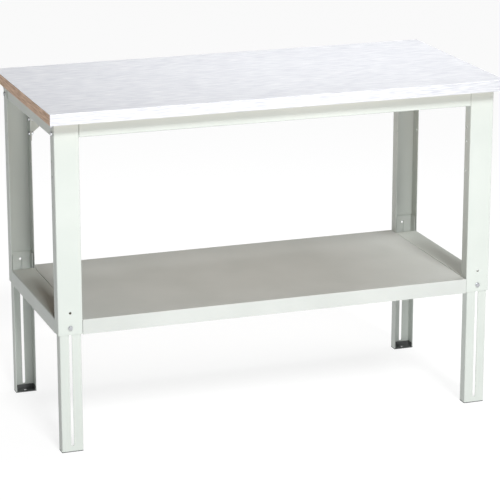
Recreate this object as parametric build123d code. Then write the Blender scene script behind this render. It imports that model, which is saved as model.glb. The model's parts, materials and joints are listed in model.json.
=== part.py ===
from build123d import *

import os

# Height-adjustable steel workbench with a clad worktop and a full-depth lower shelf.
#
# The frame stands on the floor plane z = 0.  X runs along the bench, Y from front to back and Z up.
# The origin is the middle of the floor area.  All sizes are millimetres.

# ---------------------------------------------------------------- overall sizes
bench_width = 1250.0
bench_depth = 600.0
working_height = 916.0
end_overhang = 17.0
edge_overhang = 35.0
post_floor_gap = 323.0

# ---------------------------------------------------------------- worktop
board_thickness = 28.0
cladding_sheet = 1.0
cladding_bend = 2.0

# ---------------------------------------------------------------- outer posts
post_width = 66.0
post_depth = 34.0
post_sheet = 2.0
bend_radius = 3.0
clamp_hole_height = 19.0
hole_pitch = 40.0
flange_hole_edge = 9.5
flange_hole_drop = 62.0
flange_hole_steps = (0, 1, 3)

# ---------------------------------------------------------------- telescopic legs
leg_sheet = 2.0
leg_side_clearance = 2.0
leg_face_clearance = 0.6
leg_overlap = 80.0
slot_end_margin = 14.5

# ---------------------------------------------------------------- foot inserts
foot_base = 2.5
foot_wall = 2.0
foot_rim_height = 11.5
foot_clearance = 0.2
foot_fixing_diameter = 10.0
foot_relief_diameter = 4.0

# ---------------------------------------------------------------- rails
rail_height = 43.0
rail_edge_setback = 2.0
rail_sheet = 2.0
end_rail_depth = 30.0
end_rail_end_gap = 4.0
shelf_rise = 38.0
shelf_lip = 40.0
shelf_sheet = 1.5
shelf_bend = 2.0
shelf_side_gap = 0.5
shelf_post_notch = 2.5
shelf_return = 14.0

# ---------------------------------------------------------------- shelf stiffener
stiffener_crown = 40.0
stiffener_wing = 14.0
stiffener_drop = 22.0
stiffener_end_gap = 6.0

# ---------------------------------------------------------------- rear gussets
gusset_width = 134.0
gusset_flange_margin = 19.0
gusset_tip = 8.0
gusset_foot = 12.0

# ---------------------------------------------------------------- fasteners (M6 and wood screws)
bolt_diameter = 6.0
hole_clearance = 1.0
slot_clearance = 1.6
hex_across_flats = 10.0
head_height = 4.0
head_crown_rise = 1.0
bolt_tip_chamfer = 0.75
nut_height = 5.0
thread_past_nut = 1.5
washer_sheet = 1.5
washer_diameter = 18.0
head_washer_sheet = 1.2
head_washer_diameter = 12.0
clamp_running_gap = 0.4
rail_bolt_spacing = 20.0
shelf_bolt_spread = 300.0
gusset_bolt_inset = 48.0
gusset_bolt_end_margin = 26.0
screw_diameter = 5.0
screw_length = 20.0
screw_head_diameter = 10.0
screw_head_height = 2.5
screw_point_length = 5.0
screw_point_diameter = 1.0
screw_clearance = 0.5
screw_pilot_clearance = 0.1
screw_edge_inset = 90.0
end_screw_spread = 240.0

# ---------------------------------------------------------------- levels and faces worked out from them
top_thickness = board_thickness + cladding_sheet
frame_top = working_height - top_thickness
post_length = frame_top - post_floor_gap
rail_bottom = frame_top - rail_height
end_face = bench_width / 2 - end_overhang
post_face = bench_depth / 2 - edge_overhang
rail_depth = post_depth - rail_edge_setback
flange_hole_setback = post_depth - flange_hole_edge
end_rail_lap = post_depth - post_sheet - end_rail_end_gap
shelf_level = post_floor_gap + shelf_rise
post_centre = end_face - post_width / 2
post_inner = end_face - post_width
post_mouth = post_face - post_depth
leg_width = post_width - 2 * post_sheet - 2 * leg_side_clearance
leg_depth = post_depth - 2 * post_sheet - 2 * leg_face_clearance
leg_face = post_face - post_sheet - leg_face_clearance
leg_top = post_floor_gap + leg_overlap
clamp_level = post_floor_gap + clamp_hole_height
rail_bolt_levels = [frame_top - rail_height / 2 + side * rail_bolt_spacing / 2 for side in (-1, 1)]
rail_bolt_line = post_face - rail_depth / 2
flange_hole_levels = [rail_bottom - flange_hole_drop - step * hole_pitch for step in flange_hole_steps]
gusset_bolt_levels = flange_hole_levels[:2]
gusset_flange_drop = rail_bottom - gusset_bolt_levels[-1] + gusset_flange_margin
gusset_height = gusset_flange_drop - gusset_foot
shelf_half = post_inner - shelf_side_gap
shelf_under = shelf_level - shelf_sheet
shelf_bolt_level = shelf_level - shelf_lip / 2
hole_diameter = bolt_diameter + hole_clearance
slot_width = bolt_diameter + slot_clearance
centre_min = (Align.CENTER, Align.MIN, Align.MIN)
upright = (Align.CENTER, Align.CENTER, Align.MIN)
hanging = (Align.CENTER, Align.CENTER, Align.MAX)

corners = {
    "front_left": (-1, -1),
    "front_right": (1, -1),
    "rear_left": (-1, 1),
    "rear_right": (1, 1),
}
ends = {"left": -1, "right": 1}


# ---------------------------------------------------------------- shared shapes
def channel(width, depth, sheet, bend, length):
    """A folded U-channel along +Z: its web faces -Y at y = 0 and its flanges point to +Y."""
    outer = Pos(0, depth / 2) * Rectangle(width, depth)
    outer = fillet(outer.vertices().sort_by(Axis.Y)[:2], bend)
    inner = Pos(0, depth / 2 + sheet) * Rectangle(width - 2 * sheet, depth)
    inner = fillet(inner.vertices().sort_by(Axis.Y)[:2], bend - sheet)
    return extrude(outer - inner, length)


def pan(length, height, depth, sheet, bend):
    """A folded pan rail along X: its face looks to -Y at y = 0 and its back is open."""
    outer = Box(length, depth, height, align=centre_min)
    outer = fillet(outer.faces().sort_by(Axis.Y)[0].edges(), bend)
    inner = Pos(0, sheet, sheet) * Box(length - 2 * sheet, depth, height - 2 * sheet, align=centre_min)
    inner = fillet(inner.faces().sort_by(Axis.Y)[0].edges(), bend - sheet)
    return outer - inner


def rod(diameter, length, place, direction):
    """A round bar or drill that starts at a place and runs along a direction."""
    return Plane(origin=place, z_dir=direction) * Cylinder(diameter / 2, length, align=upright)


def hex_prism(height):
    return extrude(RegularPolygon(hex_across_flats / 2, 6, major_radius=False), height)


def bolt(grip, place, direction):
    """An M6 hexagon bolt: its head bears on the place and its shank runs along the direction."""
    shank = grip + nut_height + thread_past_nut
    head = Pos(0, 0, -head_height) * hex_prism(head_height)
    crown_height = head_height + head_crown_rise
    crown = Pos(0, 0, -head_height) * Cone(
        hex_across_flats / 2, hex_across_flats, crown_height, align=upright
    )
    tip = Cylinder(bolt_diameter / 2, shank, align=upright)
    tip = chamfer(tip.edges().sort_by(Axis.Z)[-1], bolt_tip_chamfer)
    return Plane(origin=place, z_dir=direction) * ((head & crown) + tip)


def nut(place, direction):
    """An M6 hexagon nut that bears on the place, with its bore on the bolt's shank."""
    body = hex_prism(nut_height) - Cylinder(bolt_diameter / 2, nut_height, align=upright)
    return Plane(origin=place, z_dir=direction) * body


def washer(diameter, sheet, place, direction):
    ring = Cylinder(diameter / 2, sheet, align=upright) - Cylinder(bolt_diameter / 2, sheet, align=upright)
    return Plane(origin=place, z_dir=direction) * ring


def wood_screw(place):
    """A pan-head wood screw that points up, with the underside of its head at the place."""
    head = Cylinder(screw_head_diameter / 2, screw_head_height, align=upright)
    head = Pos(0, 0, -screw_head_height) * head
    head = fillet(head.edges().sort_by(Axis.Z)[0], screw_head_height / 2)
    stem_length = screw_length - screw_point_length
    stem = Cylinder(screw_diameter / 2, stem_length, align=upright)
    point = Pos(0, 0, stem_length) * Cone(
        screw_diameter / 2, screw_point_diameter / 2, screw_point_length, align=upright
    )
    return Pos(*place) * (head + stem + point)


def at_corner(shape, side_x, side_y, face):
    """Stands a shape that faces -Y on a corner of the bench, with its web at the given face."""
    turn = 0 if side_y < 0 else 180
    return Pos(side_x * post_centre, side_y * face, 0) * Rot(0, 0, turn) * shape


def save(shape, node):
    export_step(shape, f"parts/{node}.step")


def save_group(shapes, node):
    save(Compound(children=shapes), node)


# ---------------------------------------------------------------- posts, legs and feet
def make_post():
    post = Pos(0, 0, post_floor_gap) * channel(post_width, post_depth, post_sheet, bend_radius, post_length)
    for level in (clamp_level, clamp_level + hole_pitch):
        post -= rod(hole_diameter, 3 * post_sheet, (0, -post_sheet, level), (0, 1, 0))
    for level in flange_hole_levels:
        post -= rod(hole_diameter, 2 * post_width, (-post_width, flange_hole_setback, level), (1, 0, 0))
    for level in rail_bolt_levels:
        post -= rod(hole_diameter, 2 * post_width, (-post_width, rail_depth / 2, level), (1, 0, 0))
    return post


def make_leg():
    length = leg_top - foot_base
    leg = Pos(0, 0, foot_base) * channel(leg_width, leg_depth, leg_sheet, bend_radius, length)
    slot_length = length - 2 * slot_end_margin
    slot = Plane(origin=(0, -leg_sheet, foot_base + length / 2), x_dir=(0, 0, 1), z_dir=(0, 1, 0))
    return leg - slot * extrude(SlotOverall(slot_length, slot_width), 3 * leg_sheet)


def make_foot():
    """A tray that closes the leg's lower end: a base under the leg and a rim up inside its channel."""
    base = Pos(0, leg_depth / 2) * Rectangle(leg_width, leg_depth)
    base = fillet(base.vertices().sort_by(Axis.Y)[:2], bend_radius)
    foot = extrude(base, foot_base)
    shell = leg_sheet + foot_clearance
    rim_depth = leg_depth - shell
    rim = channel(
        leg_width - 2 * shell, rim_depth, foot_wall, bend_radius - leg_sheet + foot_wall, foot_rim_height
    )
    foot += Pos(0, shell, foot_base) * rim
    foot -= rod(foot_fixing_diameter, 3 * foot_base, (0, leg_depth / 2, -foot_base), (0, 0, 1))
    relief_x = leg_width / 2 - shell - foot_wall - foot_relief_diameter / 2
    relief_y = shell + foot_wall + foot_relief_diameter / 2
    for side in (-1, 1):
        foot -= rod(foot_relief_diameter, 3 * foot_base, (side * relief_x, relief_y, -foot_base), (0, 0, 1))
    return foot


# ---------------------------------------------------------------- rails
def make_front_rail():
    length = 2 * post_inner
    rail = Pos(0, -post_face, rail_bottom) * pan(length, rail_height, rail_depth, rail_sheet, bend_radius)
    for level in rail_bolt_levels:
        rail -= rod(hole_diameter, 2 * length, (-length, -rail_bolt_line, level), (1, 0, 0))
    for place in rail_screw_places(-1):
        rail -= rod(screw_diameter + screw_clearance, 2 * rail_sheet, place, (0, 0, 1))
    return rail


def make_rear_rail():
    rail = mirror(make_front_rail(), about=Plane.XZ)
    for side in (-1, 1):
        for x in gusset_rail_bolt_lines():
            place = (side * x, rail_bolt_line, rail_bottom - rail_sheet / 2)
            rail -= rod(hole_diameter, 2 * rail_sheet, place, (0, 0, 1))
    return rail


def rail_screw_places(side_y):
    """The screws under the front or rear rail's top flange, where their heads bear."""
    reach = post_inner - screw_edge_inset
    level = frame_top - rail_sheet
    return [(x * reach, side_y * rail_bolt_line, level) for x in (-1, -1 / 3, 1 / 3, 1)]


def end_screw_places(side_x):
    """The screws under an upper end rail's top flange, where their heads bear."""
    x = side_x * (end_face - post_sheet - end_rail_depth / 2)
    level = frame_top - rail_sheet
    return [(x, y * end_screw_spread / 2, level) for y in (-1, 1)]


def make_upper_end_rail(side_x):
    """A C-rail between the posts whose ends lap inside their outer flanges."""
    length = 2 * (post_mouth + end_rail_lap)
    section = channel(rail_height, end_rail_depth, rail_sheet, bend_radius, length)
    seat = Plane(
        origin=(-(end_face - post_sheet), -length / 2, frame_top - rail_height / 2),
        x_dir=(0, 0, 1),
        z_dir=(0, 1, 0),
    )
    rail = seat * section
    for side_y in (-1, 1):
        for level in rail_bolt_levels:
            place = (-end_face, side_y * rail_bolt_line, level)
            rail -= rod(hole_diameter, post_sheet + 2 * rail_sheet, place, (1, 0, 0))
    for place in end_screw_places(-1):
        rail -= rod(screw_diameter + screw_clearance, 2 * rail_sheet, place, (0, 0, 1))
    return rail if side_x < 0 else mirror(rail, about=Plane.YZ)


def make_lower_end_rail(side_x):
    """An inverted channel as wide as a post, welded between the posts' flange edges."""
    section = channel(post_width, shelf_lip, post_sheet, bend_radius, 2 * post_mouth)
    rail = Pos(-post_centre, -post_mouth, shelf_level) * Rot(-90, 0, 0) * section
    for side_y in (-1, 1):
        place = (-post_inner - 2 * post_sheet, side_y * shelf_bolt_spread / 2, shelf_bolt_level)
        rail -= rod(hole_diameter, 3 * post_sheet, place, (1, 0, 0))
    return rail if side_x < 0 else mirror(rail, about=Plane.YZ)


def gusset_rail_bolt_lines():
    first = post_inner - gusset_bolt_inset
    last = post_inner - gusset_width + gusset_bolt_end_margin
    return (first, last)


def make_gusset(side_x):
    """A folded corner plate under the rear rail: a slanted web, a flange on the post, one on the rail."""
    web_outline = Polyline(
        (0, 0),
        (gusset_width, 0),
        (gusset_width, -gusset_tip),
        (gusset_tip, -gusset_height),
        (0, -gusset_height),
        close=True,
    )
    corner = Plane(origin=(-post_inner, post_face, rail_bottom), x_dir=(1, 0, 0), z_dir=(0, -1, 0))
    gusset = corner * extrude(make_face(web_outline), rail_sheet)
    hung = (Align.MIN, Align.MAX, Align.MAX)
    post_flange = Box(rail_sheet, rail_depth, gusset_flange_drop, align=hung)
    rail_flange = Box(gusset_width, rail_depth, rail_sheet, align=hung)
    gusset = gusset + Pos(-post_inner, post_face, rail_bottom) * (post_flange + rail_flange)
    for level in gusset_bolt_levels:
        place = (-post_inner - rail_sheet, post_face - flange_hole_setback, level)
        gusset -= rod(hole_diameter, 3 * rail_sheet, place, (1, 0, 0))
    for x in gusset_rail_bolt_lines():
        place = (-x, rail_bolt_line, rail_bottom - 2 * rail_sheet)
        gusset -= rod(hole_diameter, 3 * rail_sheet, place, (0, 0, 1))
    return gusset if side_x < 0 else mirror(gusset, about=Plane.YZ)


# ---------------------------------------------------------------- shelf
def make_shelf():
    """A tray turned over: a flat deck, four lips and a return along the front and rear lips."""
    width = 2 * shelf_half
    depth = 2 * post_face
    deck = Pos(0, 0, shelf_level) * Box(width, depth, shelf_lip, align=hanging)
    deck = fillet(deck.faces().sort_by(Axis.Z)[-1].edges(), shelf_bend)
    hollow = Pos(0, 0, shelf_under) * Box(
        width - 2 * shelf_sheet,
        depth - 2 * shelf_sheet,
        shelf_lip,
        align=hanging,
    )
    hollow = fillet(hollow.faces().sort_by(Axis.Z)[-1].edges(), shelf_bend - shelf_sheet)
    tray = deck - hollow
    return_length = width - 2 * shelf_sheet - 2 * shelf_bend
    for side_y in (-1, 1):
        inner_edge = side_y * (post_face - shelf_sheet - shelf_return / 2)
        tray += Pos(0, inner_edge, shelf_level - shelf_lip) * Box(
            return_length, shelf_return, shelf_sheet, align=upright
        )
    notch_depth = post_depth - 2 * shelf_bend
    for side_x, side_y in corners.values():
        notch = Box(2 * shelf_post_notch, notch_depth, 2 * shelf_lip)
        y = side_y * (post_mouth + notch_depth / 2)
        tray -= Pos(side_x * shelf_half, y, shelf_level) * notch
        place = (side_x * shelf_half - bolt_diameter, side_y * shelf_bolt_spread / 2, shelf_bolt_level)
        tray -= rod(hole_diameter, 2 * bolt_diameter, place, (1, 0, 0))
    return tray


def make_stiffener():
    """A hat section welded under the middle of the shelf deck."""
    length = 2 * (shelf_half - shelf_sheet - stiffener_end_gap)
    wing_reach = stiffener_crown + 2 * stiffener_wing
    hat = Pos(0, -shelf_sheet / 2) * Rectangle(wing_reach, shelf_sheet)
    hat += Pos(0, -stiffener_drop / 2) * Rectangle(stiffener_crown, stiffener_drop)
    inside = (stiffener_crown - 2 * shelf_sheet, stiffener_drop - shelf_sheet)
    hat -= Pos(0, -inside[1] / 2) * Rectangle(*inside)
    seat = Plane(origin=(-length / 2, 0, shelf_under), x_dir=(0, 1, 0), z_dir=(1, 0, 0))
    return seat * extrude(hat, length)


# ---------------------------------------------------------------- worktop
def make_cladding():
    """The sheet that covers the worktop and is folded down over its front and rear edges."""
    section = channel(bench_depth, top_thickness, cladding_sheet, cladding_bend, bench_width)
    seat = Plane(origin=(-bench_width / 2, 0, working_height), x_dir=(0, -1, 0), z_dir=(1, 0, 0))
    return seat * section


def make_board():
    depth = bench_depth - 2 * cladding_sheet
    board = Pos(0, 0, frame_top) * Box(bench_width, depth, board_thickness, align=upright)
    top_edges = board.edges().filter_by(Axis.X).sort_by(Axis.Z)[-2:]
    board = fillet(top_edges, cladding_bend - cladding_sheet)
    for place in worktop_screw_places():
        pilot = (place[0], place[1], frame_top)
        board -= rod(screw_diameter + screw_pilot_clearance, screw_length, pilot, (0, 0, 1))
    return board


def worktop_screw_places():
    places = []
    for side in (-1, 1):
        places += rail_screw_places(side)
        places += end_screw_places(side)
    return places


# ---------------------------------------------------------------- fastener groups
def clamp_parts():
    """Per leg: a bolt and washer outside the post, a wide washer and nut inside the leg."""
    bolts, washers, nuts = [], [], []
    grip = head_washer_sheet + post_sheet + leg_face_clearance + leg_sheet + clamp_running_gap + washer_sheet
    for side_x, side_y in corners.values():
        x = side_x * post_centre
        inward = (0, -side_y, 0)
        head_face = side_y * (post_face + head_washer_sheet)
        wide_face = side_y * (leg_face - leg_sheet - clamp_running_gap)
        nut_face = wide_face - side_y * washer_sheet
        bolts.append(bolt(grip, (x, head_face, clamp_level), inward))
        washers.append(washer(head_washer_diameter, head_washer_sheet, (x, head_face, clamp_level), inward))
        washers.append(washer(washer_diameter, washer_sheet, (x, wide_face, clamp_level), inward))
        nuts.append(nut((x, nut_face, clamp_level), inward))
    return bolts, washers, nuts


def rail_joint_parts():
    """Two bolts at each end of the front and rear rails, through the posts' inner flanges."""
    bolts, nuts = [], []
    for side_x, side_y in corners.values():
        toward = (-side_x, 0, 0)
        for level in rail_bolt_levels:
            y = side_y * rail_bolt_line
            head_place = (side_x * (post_inner + post_sheet), y, level)
            bolts.append(bolt(post_sheet + rail_sheet, head_place, toward))
            nuts.append(nut((side_x * (post_inner - rail_sheet), y, level), toward))
    return bolts, nuts


def end_joint_parts():
    """Two bolts at each end of the upper end rails, through the posts' outer flanges."""
    bolts, nuts = [], []
    for side_x, side_y in corners.values():
        toward = (-side_x, 0, 0)
        for level in rail_bolt_levels:
            y = side_y * rail_bolt_line
            bolts.append(bolt(post_sheet + rail_sheet, (side_x * end_face, y, level), toward))
            nuts.append(nut((side_x * (end_face - post_sheet - rail_sheet), y, level), toward))
    return bolts, nuts


def gusset_joint_parts():
    """Two bolts through each rear post's inner flange and two up through the rear rail."""
    bolts, nuts = [], []
    for side_x in ends.values():
        toward = (-side_x, 0, 0)
        y = post_face - flange_hole_setback
        for level in gusset_bolt_levels:
            head_place = (side_x * (post_inner + post_sheet), y, level)
            bolts.append(bolt(post_sheet + rail_sheet, head_place, toward))
            nuts.append(nut((side_x * (post_inner - rail_sheet), y, level), toward))
        for x in gusset_rail_bolt_lines():
            place = (side_x * x, rail_bolt_line)
            bolts.append(bolt(2 * rail_sheet, (*place, rail_bottom - rail_sheet), (0, 0, 1)))
            nuts.append(nut((*place, rail_bottom + rail_sheet), (0, 0, 1)))
    return bolts, nuts


def shelf_joint_parts():
    """Two bolts per end, from inside the lower end rails through the shelf's side lips."""
    bolts, nuts = [], []
    for side_x, side_y in corners.values():
        toward = (-side_x, 0, 0)
        y = side_y * shelf_bolt_spread / 2
        grip = post_sheet + shelf_side_gap + shelf_sheet
        bolts.append(bolt(grip, (side_x * (post_inner + post_sheet), y, shelf_bolt_level), toward))
        nuts.append(nut((side_x * (shelf_half - shelf_sheet), y, shelf_bolt_level), toward))
    return bolts, nuts


# ---------------------------------------------------------------- export
os.makedirs("parts", exist_ok=True)

for corner, (side_x, side_y) in corners.items():
    save(at_corner(make_post(), side_x, side_y, post_face), f"post_{corner}")
    save(at_corner(make_leg(), side_x, side_y, leg_face), f"leg_{corner}")
    save(at_corner(make_foot(), side_x, side_y, leg_face), f"foot_insert_{corner}")

save(make_board(), "worktop_board")
save(make_cladding(), "worktop_cladding")
save(make_front_rail(), "front_rail")
save(make_rear_rail(), "rear_rail")
for end, side in ends.items():
    save(make_upper_end_rail(side), f"upper_end_rail_{end}")
    save(make_lower_end_rail(side), f"lower_end_rail_{end}")
    save(make_gusset(side), f"rear_gusset_{end}")
save(make_shelf(), "shelf_tray")
save(make_stiffener(), "shelf_stiffener")

clamp_bolts, clamp_washers, clamp_nuts = clamp_parts()
save_group(clamp_bolts, "clamp_bolts")
save_group(clamp_washers, "clamp_washers")
save_group(clamp_nuts, "clamp_nuts")
joints = {
    "rail": rail_joint_parts(),
    "end_rail": end_joint_parts(),
    "gusset": gusset_joint_parts(),
    "shelf": shelf_joint_parts(),
}
for joint, (joint_bolts, joint_nuts) in joints.items():
    save_group(joint_bolts, f"{joint}_bolts")
    save_group(joint_nuts, f"{joint}_nuts")
save_group([wood_screw(place) for place in worktop_screw_places()], "worktop_screws")
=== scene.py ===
# %% [markdown]
# # A height-adjustable steel bench
#
# This lesson dresses a finished engineering model.  The posts, legs, rails, shelf and worktop already
# have their true shape and size, so nothing here moves or resizes them.  What is left is the work of a
# paint shop: powder coat, zinc, brushed sheet, raw board, moulded feet, and the light to see them by.

# %% Load the frame
import json
import math

import bpy
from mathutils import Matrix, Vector


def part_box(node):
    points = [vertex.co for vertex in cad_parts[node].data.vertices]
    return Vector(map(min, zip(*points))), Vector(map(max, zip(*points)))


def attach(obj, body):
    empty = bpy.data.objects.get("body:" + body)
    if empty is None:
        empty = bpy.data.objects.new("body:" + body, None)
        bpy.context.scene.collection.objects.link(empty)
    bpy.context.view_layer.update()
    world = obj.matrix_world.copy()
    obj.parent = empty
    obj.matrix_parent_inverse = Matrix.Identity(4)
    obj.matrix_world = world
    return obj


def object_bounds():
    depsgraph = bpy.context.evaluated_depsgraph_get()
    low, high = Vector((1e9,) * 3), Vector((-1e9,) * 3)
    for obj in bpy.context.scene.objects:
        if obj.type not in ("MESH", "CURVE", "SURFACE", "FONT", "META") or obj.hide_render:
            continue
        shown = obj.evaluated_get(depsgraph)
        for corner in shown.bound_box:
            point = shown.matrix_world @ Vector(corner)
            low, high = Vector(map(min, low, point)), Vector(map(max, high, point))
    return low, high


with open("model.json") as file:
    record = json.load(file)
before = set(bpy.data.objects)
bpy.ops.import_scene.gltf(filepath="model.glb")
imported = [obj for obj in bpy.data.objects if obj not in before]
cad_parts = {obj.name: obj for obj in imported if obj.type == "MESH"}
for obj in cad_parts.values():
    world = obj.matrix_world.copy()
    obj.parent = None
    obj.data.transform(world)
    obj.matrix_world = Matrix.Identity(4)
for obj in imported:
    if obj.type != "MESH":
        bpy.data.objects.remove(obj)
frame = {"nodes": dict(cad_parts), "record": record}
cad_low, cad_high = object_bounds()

# %% [markdown]
# Blender starts with a filmic display curve that greys whites and mutes pale paint.  A bench this pale
# would lose the difference between its lit and its shaded faces, so the plain display curve is used.

# %% Set the display curve
bpy.context.scene.view_settings.view_transform = "Standard"

# %% [markdown]
# ## Camera
#
# The bench is seen from the front left, from above the worktop, through a long lens.  A long lens keeps
# the four posts nearly parallel.  A shifted lens could make them exactly parallel, but the shift would
# stay on when the camera goes round the bench and push it out of the picture.  So the camera is tilted.

# %% Place the camera
camera_place = (-2.042, -5.818, 2.215)
camera_heading = math.radians(19.42)
camera_tilt = math.radians(16.20)
camera_lens = 168.1
camera_sensor = 36.0
camera_reach = 400.0

camera_data = bpy.data.cameras.new("bench_camera")
camera_data.sensor_width = camera_sensor
camera_data.lens = camera_lens
camera_data.clip_end = camera_reach
camera = bpy.data.objects.new("bench_camera", camera_data)
camera.location = camera_place
camera.rotation_euler = (math.pi / 2 - camera_tilt, 0.0, -camera_heading)
bpy.context.scene.collection.objects.link(camera)
bpy.context.scene.camera = camera
print("lens", camera_lens, "mm")

# %% [markdown]
# ## Floor
#
# A lit studio floor is nearly white and has only faint shadows.  Lamps aimed at the floor would spill on
# the bench, so the floor is made to glow instead.  It reaches far past the bench, so that a low view
# doesn't find its edge.

# %% Make the floor
floor_half = 120.0
floor_glow = 0.82
floor_glow_colour = (1.0, 1.0, 1.0, 1.0)
floor_colour = (0.20, 0.20, 0.20, 1.0)
floor_roughness = 0.9

bpy.ops.object.select_all(action="DESELECT")
bpy.ops.mesh.primitive_plane_add(size=2 * floor_half, location=(0.0, 0.0, cad_low.z))
floor = bpy.context.active_object
floor.name = "studio_floor"
floor_finish = bpy.data.materials.new("studio_floor")
floor_finish.use_nodes = True
floor_shader = floor_finish.node_tree.nodes["Principled BSDF"]
floor_shader.inputs["Base Color"].default_value = floor_colour
floor_shader.inputs["Roughness"].default_value = floor_roughness
floor_shader.inputs["Emission Color"].default_value = floor_glow_colour
floor_shader.inputs["Emission Strength"].default_value = floor_glow
floor.data.materials.append(floor_finish)
print("floor", 2 * floor_half, "m wide")

# %% [markdown]
# ## Light
#
# Pale paint needs a clear difference between faces.  A broad key light stands in front at about forty
# degrees and lights the fronts and the tops.  It is not turned to the side: turned a few degrees, it
# would pass the end of the worktop and light a rear post that stands in its shadow.  A low softbox close
# to the front reaches under the worktop, and fades towards the back as any near light does.  Two more
# softboxes hang over the worktop, one of them at the right, so that the top grows brighter that way.
# The left end sees only the edge of the near softbox and gets most of its light from the glowing floor,
# so it falls into shade.

# %% Two kinds of lamp
def add_sun(name, strength, elevation, softness):
    """A distant light straight in front, at an elevation in degrees."""
    data = bpy.data.lights.new(name, "SUN")
    data.energy = strength
    data.angle = math.radians(softness)
    sun = bpy.data.objects.new(name, data)
    sun.rotation_euler = (math.radians(90.0 - elevation), 0.0, 0.0)
    bpy.context.scene.collection.objects.link(sun)
    print(name, "elevation", elevation)


def add_softbox(name, place, target, width, height, watts):
    """A glowing rectangle at a place, in metres, that faces a target and isn't seen itself."""
    data = bpy.data.lights.new(name, "AREA")
    data.shape = "RECTANGLE"
    data.size = width
    data.size_y = height
    data.energy = watts
    softbox = bpy.data.objects.new(name, data)
    softbox.location = place
    toward = Vector(target) - Vector(place)
    softbox.rotation_euler = toward.to_track_quat("-Z", "Y").to_euler()
    softbox.visible_camera = False
    bpy.context.scene.collection.objects.link(softbox)
    print(name, "watts", watts)

# %% Light the studio
under_worktop = (0.0, 0.0, 0.6)
worktop_middle = (0.0, 0.0, 0.9)
worktop_right = (0.3, 0.0, 0.9)

add_sun("key_light", strength=2.7, elevation=42.0, softness=14.0)
add_softbox("front_softbox", (0.0, -1.1, 0.65), under_worktop, width=1.8, height=0.6, watts=5.8)
add_softbox("top_softbox", (0.2, 0.3, 2.6), worktop_middle, width=1.5, height=1.0, watts=39.0)
add_softbox("right_softbox", (1.3, 0.2, 2.3), worktop_right, width=0.8, height=0.8, watts=15.0)

# %% [markdown]
# The walls of a studio send back a little light from all sides.  Modelled walls would get in the way of
# views from behind, so a faint, even surround takes their place.

# %% Add the surround
surround_strength = 0.04
surround_colour = (0.97, 0.98, 1.0, 1.0)

surround = bpy.data.worlds.new("surround")
surround.use_nodes = True
surround_shader = surround.node_tree.nodes["Background"]
surround_shader.inputs["Color"].default_value = surround_colour
surround_shader.inputs["Strength"].default_value = surround_strength
bpy.context.scene.world = surround
print("surround", surround_strength)

# %% [markdown]
# ## Building blocks for finishes
#
# Each finish reads the object's own coordinates, in metres, so a pattern has the same real scale on a
# long rail and on a small nut.  A stretched noise gives brush lines or grain, an even one gives the
# orange peel of powder coat.  Five small helpers keep each finish short.

# %% Start a finish and give it a pattern
def start_finish(name, roughness, metallic):
    """A new material with its shader, and its object coordinates."""
    finish = bpy.data.materials.new(name)
    finish.use_nodes = True
    nodes = finish.node_tree.nodes
    shader = nodes["Principled BSDF"]
    shader.inputs["Roughness"].default_value = roughness
    shader.inputs["Metallic"].default_value = metallic
    return finish, shader, nodes.new("ShaderNodeTexCoord")


def add_noise(finish, place, scale, detail, stretch=(1.0, 1.0, 1.0)):
    """A noise pattern, which a stretch squeezes by a factor along each axis."""
    tree = finish.node_tree
    mapping = tree.nodes.new("ShaderNodeMapping")
    mapping.inputs["Scale"].default_value = stretch
    noise = tree.nodes.new("ShaderNodeTexNoise")
    noise.inputs["Scale"].default_value = scale
    noise.inputs["Detail"].default_value = detail
    tree.links.new(place.outputs["Object"], mapping.inputs["Vector"])
    tree.links.new(mapping.outputs["Vector"], noise.inputs["Vector"])
    return noise.outputs["Fac"]

# %% Let a pattern drive colour, roughness and bump
def add_colours(finish, pattern, shader, dark, light, start=0.35, end=0.65):
    """Two colours, blended by a pattern between a start and an end."""
    tree = finish.node_tree
    ramp = tree.nodes.new("ShaderNodeValToRGB")
    ramp.color_ramp.elements[0].position = start
    ramp.color_ramp.elements[1].position = end
    ramp.color_ramp.elements[0].color = (*dark, 1.0)
    ramp.color_ramp.elements[1].color = (*light, 1.0)
    tree.links.new(pattern, ramp.inputs["Fac"])
    tree.links.new(ramp.outputs["Color"], shader.inputs["Base Color"])


def add_roughness(finish, pattern, shader, low, high):
    """Roughness that follows a pattern."""
    tree = finish.node_tree
    spread = tree.nodes.new("ShaderNodeMapRange")
    spread.inputs["To Min"].default_value = low
    spread.inputs["To Max"].default_value = high
    tree.links.new(pattern, spread.inputs["Value"])
    tree.links.new(spread.outputs["Result"], shader.inputs["Roughness"])


def add_bump(finish, pattern, shader, height, strength):
    """A bump of a height in metres that follows a pattern."""
    tree = finish.node_tree
    bump = tree.nodes.new("ShaderNodeBump")
    bump.inputs["Distance"].default_value = height
    bump.inputs["Strength"].default_value = strength
    tree.links.new(pattern, bump.inputs["Height"])
    tree.links.new(bump.outputs["Normal"], shader.inputs["Normal"])

# %% [markdown]
# ## Powder coat
#
# Posts, legs, rails and shelf are powder coated in one pale grey with a green cast.  The shelf's copy of
# the coat is made a shade darker as painted shade, for the worktop's shadow over the shelf.  Powder
# melts and flows in the oven, and leaves an orange peel about a millimetre and a half across.  A coat of
# clear varnish would be too glossy, so a satin roughness is used, with a very slow drift in colour over
# the sheet.

# %% Mix the powder coats
finishes = {}


def add_powder_coat(name, dark, light, smooth, rough):
    """A satin paint with an orange peel, between two close colours and two roughnesses."""
    finish, shader, place = start_finish(name, roughness=smooth, metallic=0.0)
    drift = add_noise(finish, place, scale=6.0, detail=3.0)
    add_colours(finish, drift, shader, dark, light)
    peel = add_noise(finish, place, scale=650.0, detail=2.0)
    add_roughness(finish, peel, shader, smooth, rough)
    add_bump(finish, peel, shader, height=0.00006, strength=0.5)
    finishes[name] = finish


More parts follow.
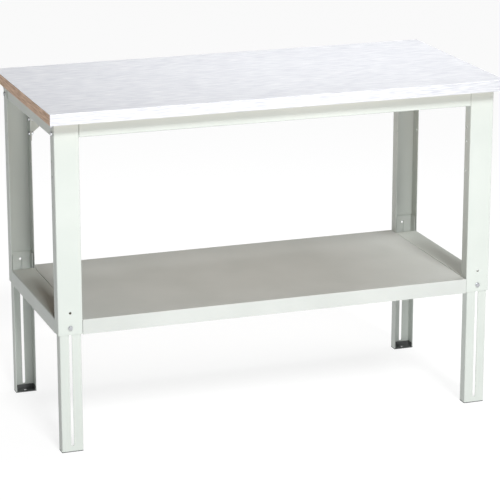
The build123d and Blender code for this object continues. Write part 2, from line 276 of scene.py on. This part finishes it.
add_powder_coat("frame_paint", (0.525, 0.562, 0.528), (0.555, 0.590, 0.555), smooth=0.40, rough=0.52)
add_powder_coat("leg_paint", (0.520, 0.556, 0.522), (0.550, 0.584, 0.550), smooth=0.40, rough=0.52)
# The shelf's coat is darker than the frame's as painted shade, for the worktop's shadow on the shelf.
add_powder_coat("shelf_paint", (0.490, 0.512, 0.488), (0.525, 0.545, 0.522), smooth=0.46, rough=0.60)
print("powder coats", sorted(finishes))

# %% [markdown]
# ## Cladding
#
# The worktop is wrapped in pale sheet with fine, short streaks along the bench.  An image of a brushed
# plate would repeat and would need a file, so a noise is made instead: its pattern is a few centimetres
# long and a few millimetres wide.  Roughness follows the same streaks, since a brushed streak also
# scatters the light differently from its neighbour.

# %% Brush the cladding
finish, shader, place = start_finish("cladding", roughness=0.42, metallic=0.15)
brush = add_noise(finish, place, scale=9.0, detail=5.0, stretch=(2.5, 40.0, 40.0))
add_colours(finish, brush, shader, (0.46, 0.47, 0.515), (0.71, 0.715, 0.725), start=0.3, end=0.7)
add_roughness(finish, brush, shader, low=0.28, high=0.46)
add_bump(finish, brush, shader, height=0.00004, strength=0.4)
finishes["cladding"] = finish

# %% [markdown]
# ## Board
#
# The ends of the board are left raw.  A laminated board shows thin layers one above the other, with
# short fibres inside each.  A pattern squeezed up and down makes the layers and a finer one the fibres.

# %% Saw the board's ends
finish, shader, place = start_finish("board_core", roughness=0.78, metallic=0.0)
layers = add_noise(finish, place, scale=22.0, detail=4.0, stretch=(0.8, 0.8, 14.0))
add_colours(finish, layers, shader, (0.51, 0.33, 0.22), (0.83, 0.60, 0.44))
fibres = add_noise(finish, place, scale=420.0, detail=4.0, stretch=(1.0, 1.0, 5.0))
add_roughness(finish, fibres, shader, low=0.68, high=0.88)
add_bump(finish, fibres, shader, height=0.00025, strength=0.6)
finishes["board_core"] = finish

# %% [markdown]
# ## Feet
#
# The foot inserts are moulded in charcoal plastic with a fine spark-eroded grain.  The steel of a mould
# is eroded by sparks, which leaves even, tiny pits, so one fine noise drives both roughness and bump.

# %% Mould the feet
finish, shader, place = start_finish("foot_plastic", roughness=0.55, metallic=0.0)
cloud = add_noise(finish, place, scale=45.0, detail=3.0)
add_colours(finish, cloud, shader, (0.085, 0.090, 0.090), (0.125, 0.130, 0.130))
grain = add_noise(finish, place, scale=1800.0, detail=2.0)
add_roughness(finish, grain, shader, low=0.48, high=0.66)
add_bump(finish, grain, shader, height=0.00005, strength=0.5)
finishes["foot_plastic"] = finish

# %% [markdown]
# ## Fasteners
#
# The bolts, nuts and washers are zinc plated: a dull silver, a little blue, and clouded where the bath
# coated them unevenly.  Colour alone would leave them evenly shiny, so the clouds drive the roughness
# too.

# %% Plate the fasteners
finish, shader, place = start_finish("zinc_fasteners", roughness=0.32, metallic=1.0)
cloud = add_noise(finish, place, scale=140.0, detail=4.0)
add_colours(finish, cloud, shader, (0.46, 0.47, 0.49), (0.60, 0.61, 0.63))
add_roughness(finish, cloud, shader, low=0.24, high=0.44)
add_bump(finish, cloud, shader, height=0.00003, strength=0.4)
finishes["zinc_fasteners"] = finish

# %% [markdown]
# ## Every part gets its finish
#
# The engineering model names one finish for each part.  Painting them by hand, one part after another,
# would leave room for a slip, so a loop reads each part's finish and puts it in the part's slots.  Only
# the material changes: the part's mesh and its place stay as they are.

# %% Give every node its finish
for subpart in frame["record"]["subparts"]:
    node = frame["nodes"][subpart["node"]]
    if not node.material_slots:
        node.data.materials.append(None)
    for material_slot in node.material_slots:
        material_slot.material = finishes[subpart["material_slot"]]

# %% [markdown]
# ## Weld beads
#
# Each lower end rail butts against the edges of two posts, and a short upright bead holds each corner on
# the outside.  A bead could be placed by typed numbers, but then it would be left behind if the bench
# changed its size, so its place is read from the rail and the post.

# %% Find the four corners
bead_end_margin = 0.002

corners = {}
for end, outward in (("left", -1), ("right", 1)):
    rail_low, rail_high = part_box(f"lower_end_rail_{end}")
    face_x = rail_low.x if outward < 0 else rail_high.x
    for row, seam_y in (("front", rail_low.y), ("rear", rail_high.y)):
        post_low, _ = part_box(f"post_{row}_{end}")
        bottom = max(rail_low.z, post_low.z) + bead_end_margin
        corners[f"weld_bead_{row}_{end}"] = (face_x, seam_y, bottom)
        bead_height = rail_high.z - bead_end_margin - bottom
        print(row, end, "bead height", round(bead_height, 4))

# %% [markdown]
# A bead is a row of overlapping puddles.  A plain half-round bar would look extruded, so a round is
# pushed up in small steps, swelling and shrinking as it goes, and then pressed flatter.  The corners are
# alike, so one bead is modelled at the origin.

# %% Model one bead
bead_radius = 0.0022
bead_facets = 14
bead_flatness = 0.45
bead_ripples = 12
bead_swell = 1.22
bead_smooth_angle = math.radians(50.0)
bead_step = bead_height / (2 * bead_ripples)

bpy.ops.object.select_all(action="DESELECT")
bpy.ops.mesh.primitive_circle_add(
    vertices=bead_facets, radius=bead_radius, fill_type="NGON", location=(0.0, 0.0, 0.0)
)
first_bead = bpy.context.active_object
bpy.ops.object.mode_set(mode="EDIT")
bpy.ops.mesh.select_all(action="SELECT")
for number in range(2 * bead_ripples):
    swell = bead_swell if number % 2 == 0 else 1 / bead_swell
    bpy.ops.mesh.extrude_region_move(TRANSFORM_OT_translate={"value": (0.0, 0.0, bead_step)})
    bpy.ops.transform.resize(value=(swell, swell, 1.0))
bpy.ops.mesh.select_all(action="SELECT")
bpy.ops.transform.resize(value=(bead_flatness, 1.0, 1.0), center_override=(0.0, 0.0, 0.0))
bpy.ops.mesh.normals_make_consistent(inside=False)
bpy.ops.object.mode_set(mode="OBJECT")
bpy.ops.object.shade_smooth_by_angle(angle=bead_smooth_angle)
print("bead faces", len(first_bead.data.polygons))

# %% [markdown]
# Every corner gets a copy with its own mesh, and the copy's place is pressed into that mesh.  The bead
# that was copied is then deleted, because it still stands at the origin.

# %% Copy the bead to the corners
for name, place in corners.items():
    bpy.ops.object.select_all(action="DESELECT")
    first_bead.select_set(True)
    bpy.context.view_layer.objects.active = first_bead
    bpy.ops.object.duplicate()
    bead = bpy.context.active_object
    bead.name = name
    bead.location = place
    bpy.ops.object.transform_apply(location=True, rotation=True, scale=True)
    bead.data.materials.append(finishes["frame_paint"])
    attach(bead, "frame")
    print(bead.name, "at", [round(value, 4) for value in place])
bpy.data.objects.remove(first_bead)
